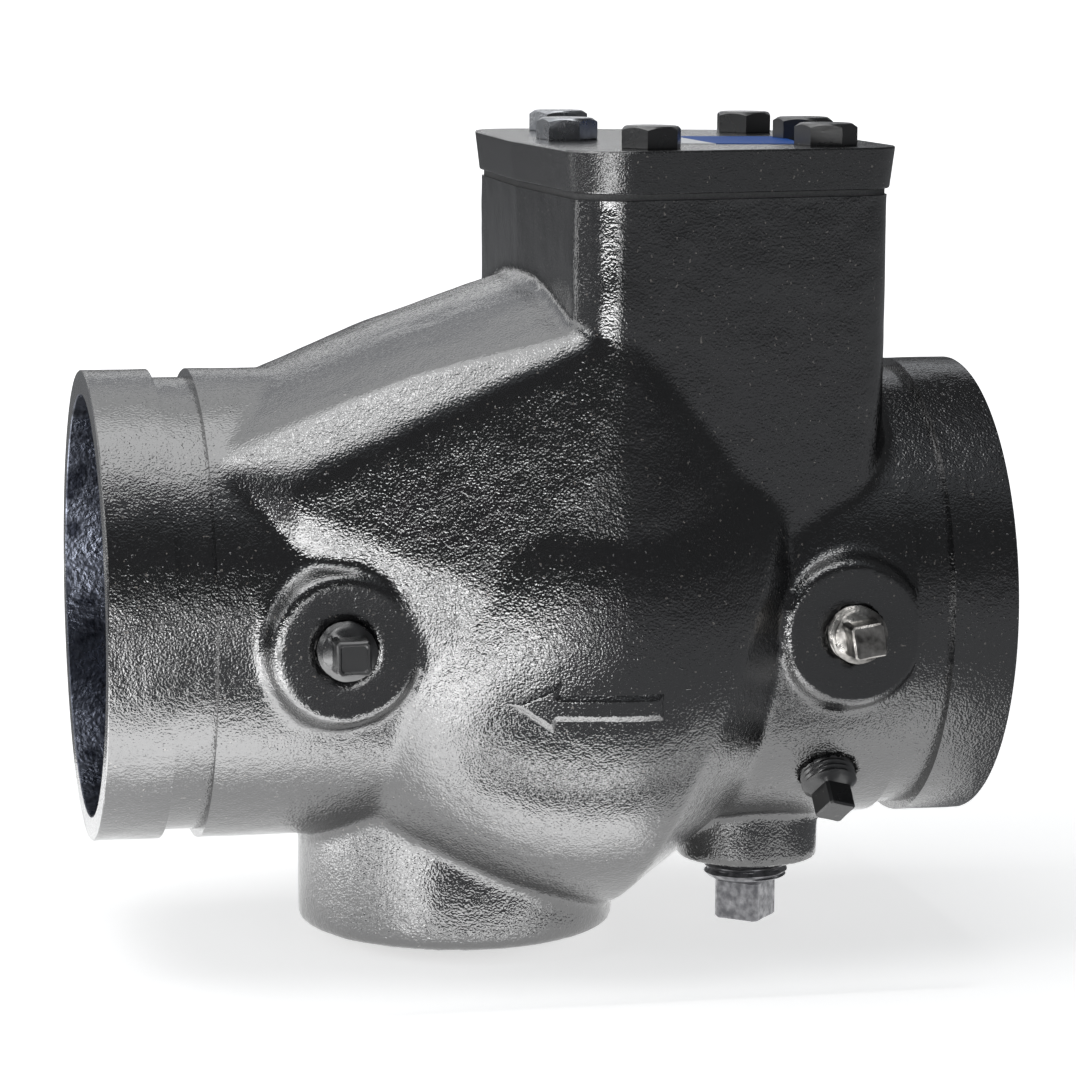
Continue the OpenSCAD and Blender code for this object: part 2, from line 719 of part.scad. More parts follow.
// Retaining clip, open on the side that it is pushed on from
module pin_clip() {
    ring_in = pin_d / 2 - clip_groove + fit;
    difference() {
        cylinder(r = pin_d / 2 + clip_w, h = clip_t - 2 * fit, $fn = 48);
        translate([0, 0, -over]) cylinder(r = ring_in, h = clip_t + 2 * over, $fn = 48);
        translate([0, clip_grip - ring_in, -over])
            cube([pin_d, 2 * (ring_in - clip_grip), clip_t + 2 * over]);
    }
}

module pin_clip_front() {
    color("#9fa2a6") at_hinge() translate([0, 0, clip_in + fit]) pin_clip();
}

module pin_clip_back() {
    color("#9fa2a6") at_hinge() translate([0, 0, fit - clip_in - clip_t]) pin_clip();
}

module hinge_bush() {
    difference() {
        cylinder(r = bush_r, h = eye_w, $fn = 48);
        translate([0, 0, -over]) cylinder(d = pin_d + 2 * pin_gap, h = eye_w + 2 * over, $fn = 48);
    }
}

module hinge_bush_front() {
    color("#b08d57") at_hinge() translate([0, 0, eye_in]) hinge_bush();
}

module hinge_bush_back() {
    color("#b08d57") at_hinge() translate([0, 0, -eye_in - eye_w]) hinge_bush();
}

// Middle line of the spring, seen from the hinge: one leg rests on the inlet
// duct, the coil turns round the pin and the other leg presses on the clapper
function coil_point(step, steps) =
    let (turn = 90 - (coil_turns + 0.25) * 360 * step / steps,
        side = (eye_in - wire_d) * (2 * step / steps - 1))
    [coil_r * sin(turn), coil_r * cos(turn), side];

module closing_spring() {
    sides = 6;
    steps_in_turn = 16;
    steps = (coil_turns + 0.25) * steps_in_turn;
    wire_r = wire_d / 2;
    coil_end = eye_in - wire_d;
    duct_top = sqrt(duct_r * duct_r - coil_end * coil_end) + wire_r + leg_gap;
    duct_leg = [(duct_top - seat_z + leg_reach * sin(seat_tilt)) / cos(seat_tilt) - hinge_up,
        -leg_reach - hinge_out];
    clapper_leg = [hub_r + leg_reach - hinge_up, web_top + wire_r + leg_gap - hinge_out];
    path = concat([[duct_leg[0], duct_leg[1], -coil_end]],
        [for (i = [0:steps]) coil_point(i, steps)],
        [[clapper_leg[0], clapper_leg[1], coil_end]]);
    last = len(path) - 1;
    rings = [for (i = [0:last])
        let (ahead = path[min(i + 1, last)] - path[max(i - 1, 0)],
            along = ahead / norm(ahead),
            across = cross(along, [0, 0, 1]),
            first = across / norm(across),
            second = cross(along, first))
        for (k = [0:sides - 1])
            path[i] + wire_r * (cos(360 * k / sides) * first + sin(360 * k / sides) * second)];
    skin = [for (i = [0:last - 1]) for (k = [0:sides - 1])
        let (next = (k + 1) % sides)
        [i * sides + k, i * sides + next, (i + 1) * sides + next, (i + 1) * sides + k]];
    color("#a8abad") at_hinge() polyhedron(rings, concat(skin,
        [[for (k = [sides - 1:-1:0]) k]], [[for (k = [0:sides - 1]) last * sides + k]]));
}

module cover() {
    color("#232427") translate([0, 0, cover_low]) difference() {
        hull() {
            linear_extrude(slice) neck_corners(cover_overhang);
            translate([0, 0, cover_t - slice]) linear_extrude(slice)
                neck_corners(cover_overhang + cover_draft);
        }
        translate([0, 0, -over]) at_bolts()
            cylinder(d = bolt_d + 2 * bolt_play, h = cover_t + 2 * over, $fn = 32);
    }
}

module cover_gasket() {
    color("#2b2a28") translate([0, 0, neck_top]) difference() {
        union() {
            linear_extrude(gasket_t) difference() {
                neck_outline(-gasket_inset);
                neck_outline(-neck_wall);
            }
            at_bolts() cylinder(r = bolt_boss_r, h = gasket_t, $fn = 48);
        }
        translate([0, 0, -over]) at_bolts()
            cylinder(d = bolt_d + 2 * bolt_play, h = gasket_t + 2 * over, $fn = 32);
    }
}

// Bolt with its thread in the neck and its head on the cover
module cover_bolt(place, side, turn) {
    shank = cover_t + gasket_t + bolt_grip;
    translate([place[0], side * place[1], cover_top]) {
        rotate([0, 0, turn]) intersection() {
            hexagon(bolt_flats, bolt_head);
            cylinder(r1 = bolt_flats, r2 = bolt_flats / 2, h = bolt_head + bolt_flats / 10, $fn = 48);
        }
        translate([0, 0, -shank]) cylinder(d = bolt_d, h = shank, $fn = 32);
    }
}

module cover_bolt_nose() {
    color("#c9cbcd") cover_bolt(nose_bolt, 1, 12);
}

module cover_bolt_left_front() {
    color("#202124") cover_bolt(left_bolt, -1, 40);
}

module cover_bolt_left_back() {
    color("#c9cbcd") cover_bolt(left_bolt, 1, 25);
}

module cover_bolt_right_front() {
    color("#202124") cover_bolt(right_bolt, -1, 15);
}

module cover_bolt_right_back() {
    color("#202124") cover_bolt(right_bolt, 1, 50);
}

module cover_bolt_heel() {
    color("#202124") cover_bolt(heel_bolt, 1, 5);
}

// Square-headed pipe plug along +Z, with z = 0 where its thread leaves the port
module pipe_plug(thread_d, inside, outside, square_w, square_h, turn) {
    translate([0, 0, -inside]) cylinder(d = thread_d, h = inside + outside, $fn = 48);
    rotate([0, 0, turn]) translate([-square_w / 2, -square_w / 2, outside - over])
        cube([square_w, square_w, square_h + over]);
}

module gauge_plug(turn) {
    pipe_plug(gauge_thread, gauge_plug_in, gauge_plug_out, gauge_plug_square, gauge_plug_head, turn);
}

module outlet_gauge_plug() {
    color("#222326") at_gauge(outlet_gauge_x) translate([0, 0, outlet_gauge_face]) gauge_plug(0);
}

module inlet_gauge_plug() {
    color("#b4b2ac") at_gauge(inlet_gauge_x) translate([0, 0, inlet_gauge_face]) gauge_plug(20);
}

module small_drain_plug() {
    color("#6d6c69") translate([small_drain_x, 0, -small_drain_low]) rotate([180, 0, 0])
        pipe_plug(small_drain_thread, small_drain_plug_in, small_drain_plug_out,
            small_drain_plug_square, small_drain_plug_head, 45);
}

module test_plug() {
    color("#17181a") at_test_port() translate([0, 0, test_shoulder])
        pipe_plug(test_thread, test_shoulder - bore_r - over, 0, test_plug_square, test_plug_head, 10);
}

body();
seat_ring();
seat_o_ring();
clapper();
clapper_facing();
facing_retainer();
retainer_bolt();
retainer_washer();
retainer_nut();
hinge_pin();
pin_clip_front();
pin_clip_back();
hinge_bush_front();
hinge_bush_back();
closing_spring();
cover();
cover_gasket();
cover_bolt_nose();
cover_bolt_left_front();
cover_bolt_left_back();
cover_bolt_right_front();
cover_bolt_right_back();
cover_bolt_heel();
outlet_gauge_plug();
inlet_gauge_plug();
small_drain_plug();
test_plug();
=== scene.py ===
# %% [markdown]
# # Dressing a grooved swing check valve
# The CAD part already has the right sizes, so this lesson only makes it look like the real thing.
# The real valve is a sand casting under glossy black enamel, with machined grooves and faces.
# Everything below is in metres and in the CAD part's own frame: X runs along the pipe,
# Z is up, and the two small plugs face -Y, towards the camera.

# %% Load the CAD part
import math
import bpy
import bmesh
from mathutils import Matrix, Vector
from mathutils.bvhtree import BVHTree


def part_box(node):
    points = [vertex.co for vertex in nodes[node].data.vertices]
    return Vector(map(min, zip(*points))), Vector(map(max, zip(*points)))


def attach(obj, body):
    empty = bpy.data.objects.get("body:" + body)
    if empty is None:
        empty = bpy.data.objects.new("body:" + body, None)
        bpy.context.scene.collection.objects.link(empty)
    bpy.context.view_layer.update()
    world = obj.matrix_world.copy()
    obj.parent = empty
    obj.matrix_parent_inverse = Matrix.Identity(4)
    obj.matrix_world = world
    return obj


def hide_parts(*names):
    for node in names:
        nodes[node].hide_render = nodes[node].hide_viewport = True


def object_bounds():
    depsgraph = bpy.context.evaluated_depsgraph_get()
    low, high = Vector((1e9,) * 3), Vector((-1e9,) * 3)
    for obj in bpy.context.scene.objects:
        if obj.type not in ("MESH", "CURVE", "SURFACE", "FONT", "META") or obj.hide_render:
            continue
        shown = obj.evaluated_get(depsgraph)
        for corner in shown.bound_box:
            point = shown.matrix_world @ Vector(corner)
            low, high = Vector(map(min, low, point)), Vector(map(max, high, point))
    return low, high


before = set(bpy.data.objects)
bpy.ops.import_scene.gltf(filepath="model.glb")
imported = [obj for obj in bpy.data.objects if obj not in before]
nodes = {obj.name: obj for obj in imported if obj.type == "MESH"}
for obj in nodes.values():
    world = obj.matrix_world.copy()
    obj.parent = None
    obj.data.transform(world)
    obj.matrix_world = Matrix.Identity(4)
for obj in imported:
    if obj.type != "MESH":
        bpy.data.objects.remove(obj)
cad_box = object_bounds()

MM = 0.001
print("CAD nodes:", len(nodes))
print("CAD box in mm:", [[round(v / MM, 1) for v in corner] for corner in cad_box])

# %% [markdown]
# ## The photographer's camera
# A long lens makes a product shot calm: lines stay almost parallel. The place, the lens and the small
# lens shift were fitted to the two ends of the pipe, whose diameter is a known pipe size.
# Building the three axes of the camera by hand keeps the fit exact; aiming with a constraint
# would lose the small roll.

# %% Camera
LOOK_AT = Vector((0.10915, 0.0, 0.0))
DISTANCE = 0.9612
azimuth = math.radians(11.87)
elevation = math.radians(9.13)
roll = math.radians(0.307)
back = Vector((-math.sin(azimuth) * math.cos(elevation),
               -math.cos(azimuth) * math.cos(elevation),
               math.sin(elevation)))
right = Vector((math.cos(azimuth), -math.sin(azimuth), 0.0))
up = right.cross(-back)
rolled_right = math.cos(roll) * right + math.sin(roll) * up
rolled_up = math.cos(roll) * up - math.sin(roll) * right
lens = bpy.data.cameras.new("portrait_lens")
lens.lens = 129.5
lens.sensor_width = 36.0
lens.shift_x = 0.0120
lens.shift_y = 0.0514
lens.clip_end = 50.0
camera = bpy.data.objects.new("portrait_camera", lens)
axes = Matrix((rolled_right, rolled_up, back)).transposed().to_4x4()
camera.matrix_world = Matrix.Translation(LOOK_AT + DISTANCE * back) @ axes
bpy.context.collection.objects.link(camera)
bpy.context.scene.camera = camera
print("camera stands at", [round(v, 3) for v in camera.matrix_world.translation])

# %% [markdown]
# ## Floor and backdrop
# The photograph has a plain white ground. In a studio that is one wide white sheet, which lies under
# the object and curves up behind it, so that no line shows where floor and wall meet. Here it is a
# section of points (forwards, up) that is drawn out sideways. It touches the lowest plug.

# %% Sweep
FLOOR_Z = cad_box[0][2] - 0.0002
FRONT_END = -9.0
BEND_FROM = 1.0
BEND_R = 0.5
BEND_STEPS = 12
WALL_TOP = 4.0
section = [(FRONT_END, 0.0), (BEND_FROM, 0.0)]
for step in range(1, BEND_STEPS + 1):
    turn = math.radians(90.0 * step / BEND_STEPS)
    section.append((BEND_FROM + BEND_R * math.sin(turn), BEND_R * (1.0 - math.cos(turn))))
section.append((BEND_FROM + BEND_R, WALL_TOP))
paper = bmesh.new()
rows = []
for side in (-8.0, 8.2):
    rows.append([paper.verts.new((side, y, FLOOR_Z + z)) for y, z in section])
for i in range(len(section) - 1):
    paper.faces.new((rows[0][i], rows[1][i], rows[1][i + 1], rows[0][i + 1])).smooth = True
sheet = bpy.data.meshes.new("white_sweep")
paper.to_mesh(sheet)
paper.free()
sweep = bpy.data.objects.new("white_sweep", sheet)
bpy.context.collection.objects.link(sweep)
print("floor lies at", round(FLOOR_Z / MM, 2), "mm")

# %% [markdown]
# A white sheet needs a lot of light to look white, and that light would wash out the black valve. So
# the sheet glows by itself, but only for rays that come from the lens, a mirror or glass. For all
# other rays it is plain white card. Near the valve the glow for the lens is weaker, so that
# the shadow under the valve is kept.

# %% White card
card = bpy.data.materials.new("white_card")
card.use_nodes = True
tree = card.node_tree
shader = tree.nodes["Principled BSDF"]
shader.inputs["Base Color"].default_value = (0.80, 0.80, 0.80, 1.0)
shader.inputs["Roughness"].default_value = 0.9
path = tree.nodes.new("ShaderNodeLightPath")
in_glass = tree.nodes.new("ShaderNodeMath")
in_glass.operation = "MAXIMUM"
tree.links.new(path.outputs["Is Glossy Ray"], in_glass.inputs[0])
tree.links.new(path.outputs["Is Transmission Ray"], in_glass.inputs[1])
in_lens = tree.nodes.new("ShaderNodeMath")
in_lens.operation = "MULTIPLY"
tree.links.new(path.outputs["Is Camera Ray"], in_lens.inputs[0])
ground = tree.nodes.new("ShaderNodeTexCoord")
spread = tree.nodes.new("ShaderNodeSeparateXYZ")
tree.links.new(ground.outputs["Object"], spread.inputs[0])
far = tree.nodes.new("ShaderNodeMapRange")
GLOW_NEAR = 0.64
far.inputs["From Min"].default_value = 0.1
far.inputs["From Max"].default_value = 0.7
far.inputs["To Min"].default_value = GLOW_NEAR
far.inputs["To Max"].default_value = 1.0
tree.links.new(spread.outputs["Y"], far.inputs["Value"])
tree.links.new(far.outputs["Result"], in_lens.inputs[1])
glow = tree.nodes.new("ShaderNodeMath")
glow.operation = "MAXIMUM"
tree.links.new(in_glass.outputs[0], glow.inputs[0])
tree.links.new(in_lens.outputs[0], glow.inputs[1])
shader.inputs["Emission Color"].default_value = (1.0, 1.0, 1.0, 1.0)
tree.links.new(glow.outputs[0], shader.inputs["Emission Strength"])
sheet.materials.append(card)
print("the card glows with", GLOW_NEAR, "near the valve and 1.0 far behind it")

# %% [markdown]
# ## Studio light
# Gloss black shows the lamps, not its own colour, so the lamps are drawn as shapes that the valve
# mirrors. A wide soft box overhead gives the bright upper skin, and a strip beside it the line on the
# ridge. A low box at the front left and a small one above it give the sheen on the ball and the
# streak on the neck. Panels on the table light the underside. The lens sees none of them.

# %% Soft boxes
LOW = FLOOR_Z + 0.001

def soft_box(name, place, aim, width, height, radiance):
    """An area lamp of a given brightness, aimed at a point."""
    lamp = bpy.data.lights.new(name, "AREA")
    lamp.shape = "RECTANGLE"
    lamp.size = width
    lamp.size_y = height
    lamp.energy = radiance * math.pi * width * height
    thing = bpy.data.objects.new(name, lamp)
    thing.location = place
    facing = Vector(aim) - Vector(place)
    thing.rotation_euler = facing.to_track_quat("-Z", "Y").to_euler()
    thing.visible_camera = False
    bpy.context.collection.objects.link(thing)

def table_panel(name, x, y, width, depth, radiance):
    """A panel that lies on the table and shines upwards."""
    soft_box(name, (x, y, LOW), (x, y, 1.0), width, depth, radiance)

soft_box("overhead_box", (-0.30, -0.03, 1.0), (-0.30, -0.03, 0.0), 1.2, 0.76, 2.1)
soft_box("ridge_strip", (-0.358, -0.104, 0.855), (0.06, -0.045, 0.06), 0.20, 0.08, 4.5)
soft_box("left_box", (-0.75, 0.05, 0.26), (0.11, 0.05, 0.26), 0.5, 0.28, 0.7)
soft_box("pipe_mouth_box", (-0.50, -0.20, 0.28), (0.02, 0.04, 0.0), 0.20, 0.16, 2.5)
soft_box("front_left_box", (-0.20, -0.58, -0.042), (0.05, 0.0, -0.042), 0.42, 0.085, 7.0)
soft_box("neck_strip", (0.055, -0.60, 0.03), (0.117, -0.064, 0.08), 0.08, 0.09, 3.2)
table_panel("left_table_panel", -0.20, 0.03, 0.32, 0.18, 3.1)
table_panel("front_table_panel", 0.035, -0.085, 0.21, 0.06, 1.8)
table_panel("belly_panel", -0.085, -0.19, 0.15, 0.14, 4.2)

# %% [markdown]
# ## Black and grey cards
# What is meant to look black needs something dark to mirror. A photographer stands black cards
# round the object for that. These cards are a little lighter at the foot, which keeps the grain alive
# in the black, and a grey one behind holds back the white wall that the sloping roof mirrors.
# Their cloth is a very dark matt stuff with a faint glow that depends on the height.

# %% Card cloth
def card_cloth(name, low_z, high_z, low_glow, high_glow):
    """Cloth for cards, whose faint glow goes from one strength to another with the height."""
    cloth = bpy.data.materials.new(name)
    cloth.use_nodes = True
    tree = cloth.node_tree
    shader = tree.nodes["Principled BSDF"]
    shader.inputs["Base Color"].default_value = (0.012, 0.012, 0.012, 1.0)
    shader.inputs["Roughness"].default_value = 1.0
    shader.inputs["Specular IOR Level"].default_value = 0.0
    shader.inputs["Emission Color"].default_value = (0.94, 0.96, 1.0, 1.0)
    place = tree.nodes.new("ShaderNodeTexCoord")
    split = tree.nodes.new("ShaderNodeSeparateXYZ")
    tree.links.new(place.outputs["Object"], split.inputs[0])
    fade = tree.nodes.new("ShaderNodeMapRange")
    fade.inputs["From Min"].default_value = low_z
    fade.inputs["From Max"].default_value = high_z
    fade.inputs["To Min"].default_value = low_glow
    fade.inputs["To Max"].default_value = high_glow
    tree.links.new(split.outputs["Z"], fade.inputs["Value"])
    tree.links.new(fade.outputs["Result"], shader.inputs["Emission Strength"])
    return cloth

flag_cloth = card_cloth("flag_cloth", 0.0, 0.14, 0.22, 0.06)
grey_cloth = card_cloth("grey_cloth", 0.26, 0.55, 0.50, 0.75)
print("cloths:", flag_cloth.name, grey_cloth.name)

# %% [markdown]
# The cards are made so that only mirrors see them: the lens looks through them and they take no part
# in the soft light. One small card in front of the drain boss also keeps the front lamp off
# it, so it is the only one that throws a shadow.

# %% Cards
def card_at(name, corners, cloth=flag_cloth):
    """A card that the lens and the lamps look through."""
    mesh = bpy.data.meshes.new(name)
    mesh.from_pydata(corners, [], [(0, 1, 2, 3)])
    mesh.materials.append(cloth)
    thing = bpy.data.objects.new(name, mesh)
    thing.visible_camera = False
    thing.visible_diffuse = False
    thing.visible_shadow = False
    bpy.context.collection.objects.link(thing)
    return thing

def standing_card(name, start, end, top, foot=LOW, cloth=flag_cloth):
    """An upright card between two points of the floor plan."""
    (ax, ay), (bx, by) = start, end
    return card_at(name, [(ax, ay, foot), (bx, by, foot), (bx, by, top), (ax, ay, top)], cloth)

def lying_card(name, x0, x1, y0, y1):
    """A card that lies on the table."""
    card_at(name, [(x0, y0, LOW), (x1, y0, LOW), (x1, y1, LOW), (x0, y1, LOW)])

standing_card("front_card", (-0.75, -0.66), (1.2, -0.66), 0.75)
standing_card("right_card", (0.95, -0.66), (0.45, 0.95), 1.6)
standing_card("back_card", (-0.50, 0.62), (0.60, 0.62), 0.16)
standing_card("roof_card", (-0.6, 0.62), (0.7, 0.62), 0.55, 0.27, grey_cloth)
standing_card("left_card", (-0.76, -0.66), (-0.76, 0.62), 0.12)
drain_card = standing_card("drain_card", (0.055, -0.078), (0.20, -0.078), -0.056)
drain_card.visible_shadow = True
lying_card("front_table_card", 0.015, 1.2, -0.66, -0.115)
lying_card("right_table_card", 0.228, 1.2, -0.115, 0.22)
lying_card("left_table_card", -0.75, -0.24, -0.5, 0.6)
lying_card("back_table_card", -0.24, 1.2, 0.22, 0.6)

# %% [markdown]
# The air of the studio is a dim, slightly cool grey from all sides, so that nothing turns fully black.

# %% Air
world = bpy.data.worlds.new("studio_air")
bpy.context.scene.world = world
world.use_nodes = True
air = world.node_tree.nodes["Background"]
air.inputs["Color"].default_value = (0.9, 0.95, 1.0, 1.0)
air.inputs["Strength"].default_value = 0.20
bpy.context.scene.view_settings.view_transform = "Standard"
print("view transform:", bpy.context.scene.view_settings.view_transform)

# %% [markdown]
# ## A finish is a small recipe
# Most finishes here need the same moves: noise in the part's own coordinates, turned into a bump, a
# change of roughness and a change of colour. A helper that starts such a recipe saves repeating it.
# Object coordinates are used because they are the same in every view and need no unwrapping.

# %% Recipe helpers
def new_finish(name, colour, metal, rough, ior=1.5):
    """A material with its Principled shader and its object coordinates."""
    material = bpy.data.materials.new(name)
    material.use_nodes = True
    tree = material.node_tree
    shader = tree.nodes["Principled BSDF"]
    shader.inputs["Base Color"].default_value = (*colour, 1.0)
    shader.inputs["Metallic"].default_value = metal
    shader.inputs["Roughness"].default_value = rough
    shader.inputs["IOR"].default_value = ior
    place = tree.nodes.new("ShaderNodeTexCoord")
    return material, tree, shader, place.outputs["Object"]

def noise_of(tree, place, grain_mm, detail=2.0):
    """Noise whose grains are about grain_mm across."""
    grain = tree.nodes.new("ShaderNodeTexNoise")
    grain.inputs["Scale"].default_value = 1.0 / (grain_mm * MM)
    grain.inputs["Detail"].default_value = detail
    tree.links.new(place, grain.inputs["Vector"])
    return grain.outputs["Fac"]

def between(tree, value, low, high, out_low, out_high):
    """Stretches a value from one range to another, held at both ends."""
    remap = tree.nodes.new("ShaderNodeMapRange")
    remap.inputs["From Min"].default_value = low
    remap.inputs["From Max"].default_value = high
    remap.inputs["To Min"].default_value = out_low
    remap.inputs["To Max"].default_value = out_high
    tree.links.new(value, remap.inputs["Value"])
    return remap.outputs["Result"]

def bump_by(tree, shader, height, depth_mm, strength=1.0, under=None):
    """Adds a bump of a real depth, on top of an earlier one if there is one."""
    bump = tree.nodes.new("ShaderNodeBump")
    bump.inputs["Strength"].default_value = strength
    bump.inputs["Distance"].default_value = depth_mm * MM
    tree.links.new(height, bump.inputs["Height"])
    if under is not None:
        tree.links.new(under, bump.inputs["Normal"])
    tree.links.new(bump.outputs["Normal"], shader.inputs["Normal"])
    return bump.outputs["Normal"]

def two_tone(tree, shader, amount, colour_a, colour_b):
    """Base colour that goes from one tone to another by an amount."""
    mix = tree.nodes.new("ShaderNodeMix")
    mix.data_type = "RGBA"
    mix.inputs["A"].default_value = (*colour_a, 1.0)
    mix.inputs["B"].default_value = (*colour_b, 1.0)
    tree.links.new(amount, mix.inputs["Factor"])
    tree.links.new(mix.outputs["Result"], shader.inputs["Base Color"])

# %% [markdown]
# ## Black enamel over sand casting
# Sand leaves a skin of grains about half a millimetre across, and thick enamel rounds them off, which
# gives the wet orange-peel look. Three noises make it, one bump on top of the other: wide lumps, a few
# sharp nibs, and the grains. High up, where less sand sticks, the skin is calmer. A few pale
# specks of dust sit on it. Enamel on a casting reflects more than plain plastic does, so its
# index is set higher.

# %% Enamel
DUST_COLOUR = (0.36, 0.33, 0.30)

def enamel(name, tone, grain_mm, depth_mm, rough, dust=0.79, ior=1.9, calm_above=False):
    """Glossy paint over a cast skin, which can be calmer on its upper parts."""
    tint = (tone, tone, tone * 1.06)
    material, tree, shader, place = new_finish(name, tint, 0.0, rough, ior)
    grain = noise_of(tree, place, grain_mm, 1.0)
    lumps = noise_of(tree, place, grain_mm * 5.0, 2.0)
    fine = bump_by(tree, shader, lumps, depth_mm)
    nibs = between(tree, noise_of(tree, place, 0.7, 0.0), 0.74, 0.86, 0.0, 1.0)
    rough_skin = bump_by(tree, shader, nibs, depth_mm * 0.35, 1.0, fine)
    skin = bump_by(tree, shader, grain, depth_mm, 1.0, rough_skin)
    if calm_above:
        spread = tree.nodes.new("ShaderNodeSeparateXYZ")
        tree.links.new(place, spread.inputs[0])
        strength = between(tree, spread.outputs["Z"], 0.0, 0.08, 1.0, 0.55)
        for layer in (fine, rough_skin, skin):
            tree.links.new(strength, layer.node.inputs["Strength"])
    cloud = noise_of(tree, place, 14.0, 3.0)
    shine = between(tree, cloud, 0.3, 0.7, rough * 0.8, rough * 1.25)
    tree.links.new(shine, shader.inputs["Roughness"])
    specks = noise_of(tree, place, 0.8, 0.0)
    amount = between(tree, specks, dust, dust + 0.03, 0.0, 0.4)
    two_tone(tree, shader, amount, tint, DUST_COLOUR)
    return material

black_cast = enamel("enamel_on_casting", 0.008, 0.56, 0.155, 0.085, ior=2.4, calm_above=True)
black_boss = enamel("enamel_on_boss_face", 0.010, 0.56, 0.06, 0.14, ior=2.2)
black_smooth = enamel("enamel_on_machined_face", 0.012, 0.6, 0.05, 0.26)
black_cover = enamel("enamel_on_cover", 0.010, 0.44, 0.12, 0.18, ior=2.2)
print("enamels:", black_cast.name, black_boss.name, black_smooth.name, black_cover.name)

# %% [markdown]
# ## Bare and plated metals
# Each metal has its own mark of making: zinc plate is cloudy, turned bronze and stainless have only a
# very shallow grain, and a plug out of its mould has a deeper one and a duller shine. The thin coat
# in the pipe ends is made with the same recipe, with wide dark clouds.

# %% Metals
def bare_metal(name, colour, dark, rough, grain_mm, depth_mm):
    """Metal whose colour and shine drift with its grain."""
    material, tree, shader, place = new_finish(name, colour, 1.0, rough)
    grain = noise_of(tree, place, grain_mm, 3.0)
    bump_by(tree, shader, grain, depth_mm)
    cloud = noise_of(tree, place, grain_mm * 5.0, 3.0)
    two_tone(tree, shader, between(tree, cloud, 0.35, 0.65, 0.0, 1.0), dark, colour)
    tree.links.new(between(tree, cloud, 0.3, 0.7, rough * 1.3, rough * 0.75), shader.inputs["Roughness"])
    return material

zinc = bare_metal("bright_zinc_plate", (0.46, 0.47, 0.49), (0.26, 0.27, 0.29), 0.28, 0.8, 0.04)
stainless = bare_metal("turned_stainless", (0.66, 0.65, 0.63), (0.48, 0.47, 0.46), 0.22, 0.5, 0.015)
bronze = bare_metal("turned_bronze", (0.72, 0.47, 0.22), (0.50, 0.31, 0.14), 0.28, 0.6, 0.02)
iron_plug = bare_metal("plain_iron_plug", (0.30, 0.30, 0.31), (0.16, 0.16, 0.17), 0.36, 0.35, 0.06)
bore_coat = bare_metal("coat_inside_the_pipe", (0.25, 0.27, 0.33), (0.03, 0.033, 0.045), 0.28, 1.2, 0.20)
black_steel = enamel("black_bolt_steel", 0.013, 1.4, 0.03, 0.28, dust=0.84)
print("metals:", zinc.name, stainless.name, bronze.name, iron_plug.name, bore_coat.name)

# %% [markdown]
# ## Rubber and gasket sheet
# Rubber is black like the enamel but dull, with a fine powdery grain. Gasket sheet is grey fibre.

# %% Soft sealing stuff
def sealing(name, tone_a, tone_b, rough, grain_mm):
    """Matt sheet or moulded rubber."""
    material, tree, shader, place = new_finish(name, tone_a, 0.0, rough)
    grain = noise_of(tree, place, grain_mm, 4.0)
    bump_by(tree, shader, grain, 0.04)
    two_tone(tree, shader, between(tree, grain, 0.3, 0.7, 0.0, 1.0), tone_a, tone_b)
    return material

rubber = sealing("moulded_rubber", (0.016, 0.016, 0.017), (0.030, 0.029, 0.029), 0.62, 0.5)
gasket_sheet = sealing("fibre_gasket", (0.05, 0.05, 0.052), (0.10, 0.10, 0.10), 0.8, 0.3)

by_slot = {"painted_casting": black_smooth, "bronze": bronze, "rubber": rubber,
           "stainless": stainless, "gasket": gasket_sheet, "zinc_plated": zinc,
           "black_steel": black_steel, "bare_plug": iron_plug}
for node in nodes.values():
    for place in node.material_slots:
        place.material = by_slot[place.material.name]
print("finished CAD nodes:", sorted({m.name for n in nodes.values() for m in n.data.materials}))

# %% [markdown]
# ## Turned shapes
# A lathe makes rings, plugs and tool shapes alike: a short list of points (along, radius) is turned
# round an axis. Every such shape is a stack of hoops of points with a skin between them, so both the
# pieces and the tools that cut the casting share two helpers.

# %% Hoops and lathe
def skin_hoops(mesh, hoops, ring=False):
    """Lays faces from hoop to hoop; a ring closes on itself, the rest gets flat ends."""
    steps = len(hoops[0])
    pairs = list(zip(hoops, hoops[1:]))
    if ring:
        pairs.append((hoops[-1], hoops[0]))
    for low, high in pairs:
        for step in range(steps):
            after = (step + 1) % steps
            mesh.faces.new((low[step], low[after], high[after], high[step]))
    if not ring:
        mesh.faces.new(list(reversed(hoops[0])))
        mesh.faces.new(hoops[-1])
    bmesh.ops.recalc_face_normals(mesh, faces=mesh.faces)

def add_hoop(mesh, hoops, steps, radius_of, height_of):
    """Adds one hoop in mm, whose radius may change with the turn and whose height with the radius."""
    points = []
    for step in range(steps):
        turn = 2.0 * math.pi * step / steps
        radius = radius_of(turn)
        across = radius * MM * math.cos(turn)
        aside = radius * MM * math.sin(turn)
        points.append(mesh.verts.new((across, aside, height_of(radius) * MM)))
    hoops.append(points)

TURN_STEPS = 96

def lathe(profile, steps=TURN_STEPS, ring=False):
    """Points (along, radius) in mm turned round Z."""
    mesh = bmesh.new()
    hoops = []
    for along, radius in profile:
        add_hoop(mesh, hoops, steps, lambda turn: radius, lambda r: along)
    skin_hoops(mesh, hoops, ring)
    return mesh

print("the lathe makes", TURN_STEPS, "steps in a turn unless told otherwise")

# %% [markdown]
# ## Workshop helpers
# A shape is made along Z at the origin, where its numbers are easy to check, and is then stood in its
# place. Modifiers are baked into the mesh at once, so that the next tool works on the real shape.

